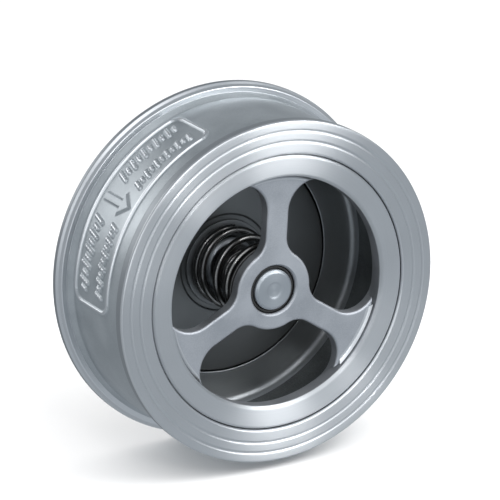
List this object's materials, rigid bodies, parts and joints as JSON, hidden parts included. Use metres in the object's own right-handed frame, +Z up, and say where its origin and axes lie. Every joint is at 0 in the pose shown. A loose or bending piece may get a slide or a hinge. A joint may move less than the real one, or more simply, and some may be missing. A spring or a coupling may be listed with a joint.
{
  "type": "wafer check valve",
  "caption": "Stainless wafer check valve: short round body clamped between pipe flanges, with a spider-guided, spring-loaded disc that lifts to let flow through one way.",
  "frame": {"origin": "on the bore axis, halfway between the two gasket faces, which is the centre of the bounding box", "axes": "the bore runs along Y: the outlet face with the guide spider looks towards -Y, the inlet face towards +Y; +Z is up and the arm nearest to vertical points up"},
  "size_m": [0.142, 0.05, 0.142],
  "materials": {
    "turned_body": "investment-cast stainless, finely turned faces and rims, satin bead-blasted barrel",
    "turned_ring": "finely turned stainless",
    "cast_spider": "bead-blasted stainless casting with burnished edges",
    "bush_polymer": "carbon-filled PTFE, turned",
    "stem_steel": "ground stainless bar with a turned end",
    "disc_steel": "turned stainless, satin",
    "seal_ptfe": "filled PTFE, skived face",
    "plate_steel": "turned stainless, satin",
    "spring_steel": "dark drawn spring wire, slightly oiled",
    "washer_steel": "stamped stainless, tumbled",
    "screw_steel": "cold-headed stainless",
    "dowel_steel": "ground stainless pin"
  },
  "bodies": {
    "housing": {"body": "turned_body", "retaining_ring": "turned_ring", "guide_spider": "cast_spider", "guide_bush": "bush_polymer", "spring_washer_hub": "washer_steel", "spring": "spring_steel", "spider_dowel_1": "dowel_steel", "spider_dowel_2": "dowel_steel", "spider_dowel_3": "dowel_steel"},
    "spring_follower": {"spring_washer_disc": "washer_steel"},
    "disc_assembly": {"stem": "stem_steel", "disc": "disc_steel", "disc_seal": "seal_ptfe", "seal_clamp_plate": "plate_steel", "stem_screw": "screw_steel", "clamp_screw_1": "screw_steel", "clamp_screw_2": "screw_steel", "clamp_screw_3": "screw_steel", "clamp_screw_4": "screw_steel", "clamp_screw_5": "screw_steel", "clamp_screw_6": "screw_steel"}
  },
  "joints": [
    {"name": "disc_lift", "type": "slide", "parent": "housing", "child": "spring_follower", "axis": [0, -1, 0], "range_m": [0, 0.012], "stiffness_N_per_m": 9600, "springref_m": -0.0015, "deforming": ["spring"]},
    {"name": "disc_spin", "type": "hinge", "parent": "spring_follower", "child": "disc_assembly", "pos_m": [0, 0.017, 0], "axis": [0, -1, 0], "continuous": true}
  ]
}
